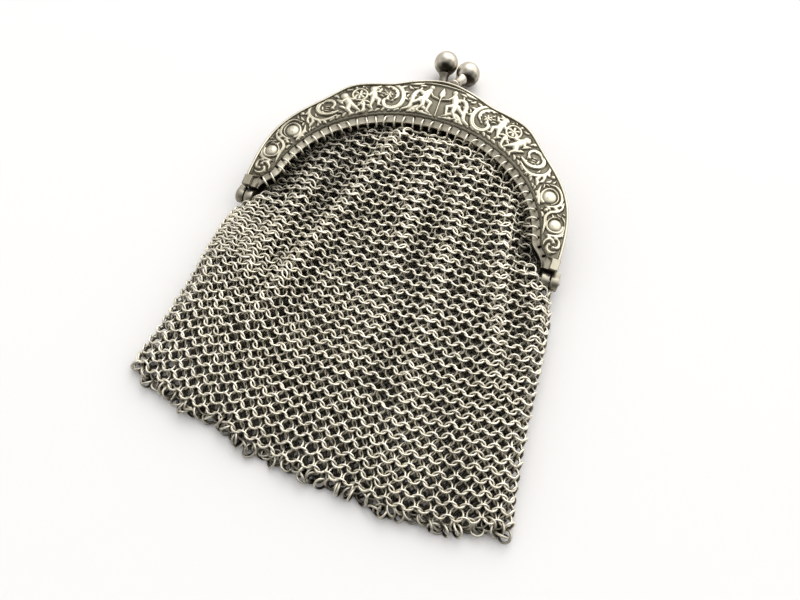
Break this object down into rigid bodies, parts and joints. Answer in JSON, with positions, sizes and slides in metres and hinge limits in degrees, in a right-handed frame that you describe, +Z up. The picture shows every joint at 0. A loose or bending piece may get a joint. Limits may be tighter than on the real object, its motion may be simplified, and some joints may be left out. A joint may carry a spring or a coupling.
{
  "type": "ring mesh evening purse",
  "caption": "Small metal ring-mesh evening purse lying on its back: arched embossed frame in two hinged halves, kiss-lock balls, mesh pouch with a loose ring fringe.",
  "frame": {"origin": "on the underside of the back mesh, straight below the middle of the hinge axis, with the purse lying on its back", "axes": "+X along the hinge axis to the purse's right, +Y from the pouch's bottom towards the kiss-lock, +Z up out of the front"},
  "size_m": [0.091, 0.1221, 0.0078],
  "materials": {
    "plain_silver": "worn plain silver alloy, satin",
    "embossed_silver": "embossed silver alloy, bright relief on a dark patinated ground",
    "polished_silver": "hand-polished silver alloy with dark patina low down",
    "ring_mesh_silver": "woven wire rings, tarnished between and bright on their tops",
    "ring_wire_silver": "single wire rings, tarnished silver alloy"
  },
  "bodies": {
    "back_half": {"back_channel": "plain_silver", "back_facing": "embossed_silver", "back_knuckle_left": "plain_silver", "back_knuckle_right": "plain_silver", "hinge_pin_left": "plain_silver", "hinge_pin_right": "plain_silver", "back_stem": "polished_silver", "back_ball": "polished_silver", "mesh_back": "ring_mesh_silver", "mesh_front_lower": "ring_mesh_silver", "bottom_fringe": "ring_wire_silver"},
    "front_half": {"front_channel": "plain_silver", "front_facing": "embossed_silver", "front_knuckle_left": "plain_silver", "front_knuckle_right": "plain_silver", "front_stem": "polished_silver", "front_ball": "polished_silver", "mesh_front_upper": "ring_mesh_silver", "front_ring_01": "ring_wire_silver", "front_ring_02": "ring_wire_silver", "front_ring_03": "ring_wire_silver", "front_ring_04": "ring_wire_silver", "front_ring_05": "ring_wire_silver", "front_ring_06": "ring_wire_silver", "front_ring_07": "ring_wire_silver", "front_ring_08": "ring_wire_silver", "front_ring_09": "ring_wire_silver", "front_ring_10": "ring_wire_silver", "front_ring_11": "ring_wire_silver", "front_ring_12": "ring_wire_silver", "front_ring_13": "ring_wire_silver", "front_ring_14": "ring_wire_silver", "front_ring_15": "ring_wire_silver", "front_ring_16": "ring_wire_silver", "front_ring_17": "ring_wire_silver", "front_ring_18": "ring_wire_silver", "front_ring_19": "ring_wire_silver", "front_ring_20": "ring_wire_silver", "front_ring_21": "ring_wire_silver", "front_ring_22": "ring_wire_silver", "front_ring_23": "ring_wire_silver", "front_ring_24": "ring_wire_silver", "front_ring_25": "ring_wire_silver", "front_ring_26": "ring_wire_silver", "front_ring_27": "ring_wire_silver", "front_ring_28": "ring_wire_silver", "front_ring_29": "ring_wire_silver", "front_ring_30": "ring_wire_silver", "front_ring_31": "ring_wire_silver", "front_ring_32": "ring_wire_silver", "front_ring_33": "ring_wire_silver", "front_ring_34": "ring_wire_silver", "front_ring_35": "ring_wire_silver", "front_ring_36": "ring_wire_silver", "front_ring_37": "ring_wire_silver", "front_ring_38": "ring_wire_silver", "front_ring_39": "ring_wire_silver"}
  },
  "joints": [
    {"name": "frame_hinge", "type": "hinge", "parent": "back_half", "child": "front_half", "pos_m": [0, 0, 0.00395], "axis": [1, 0, 0], "range_deg": [0, 90]}
  ]
}
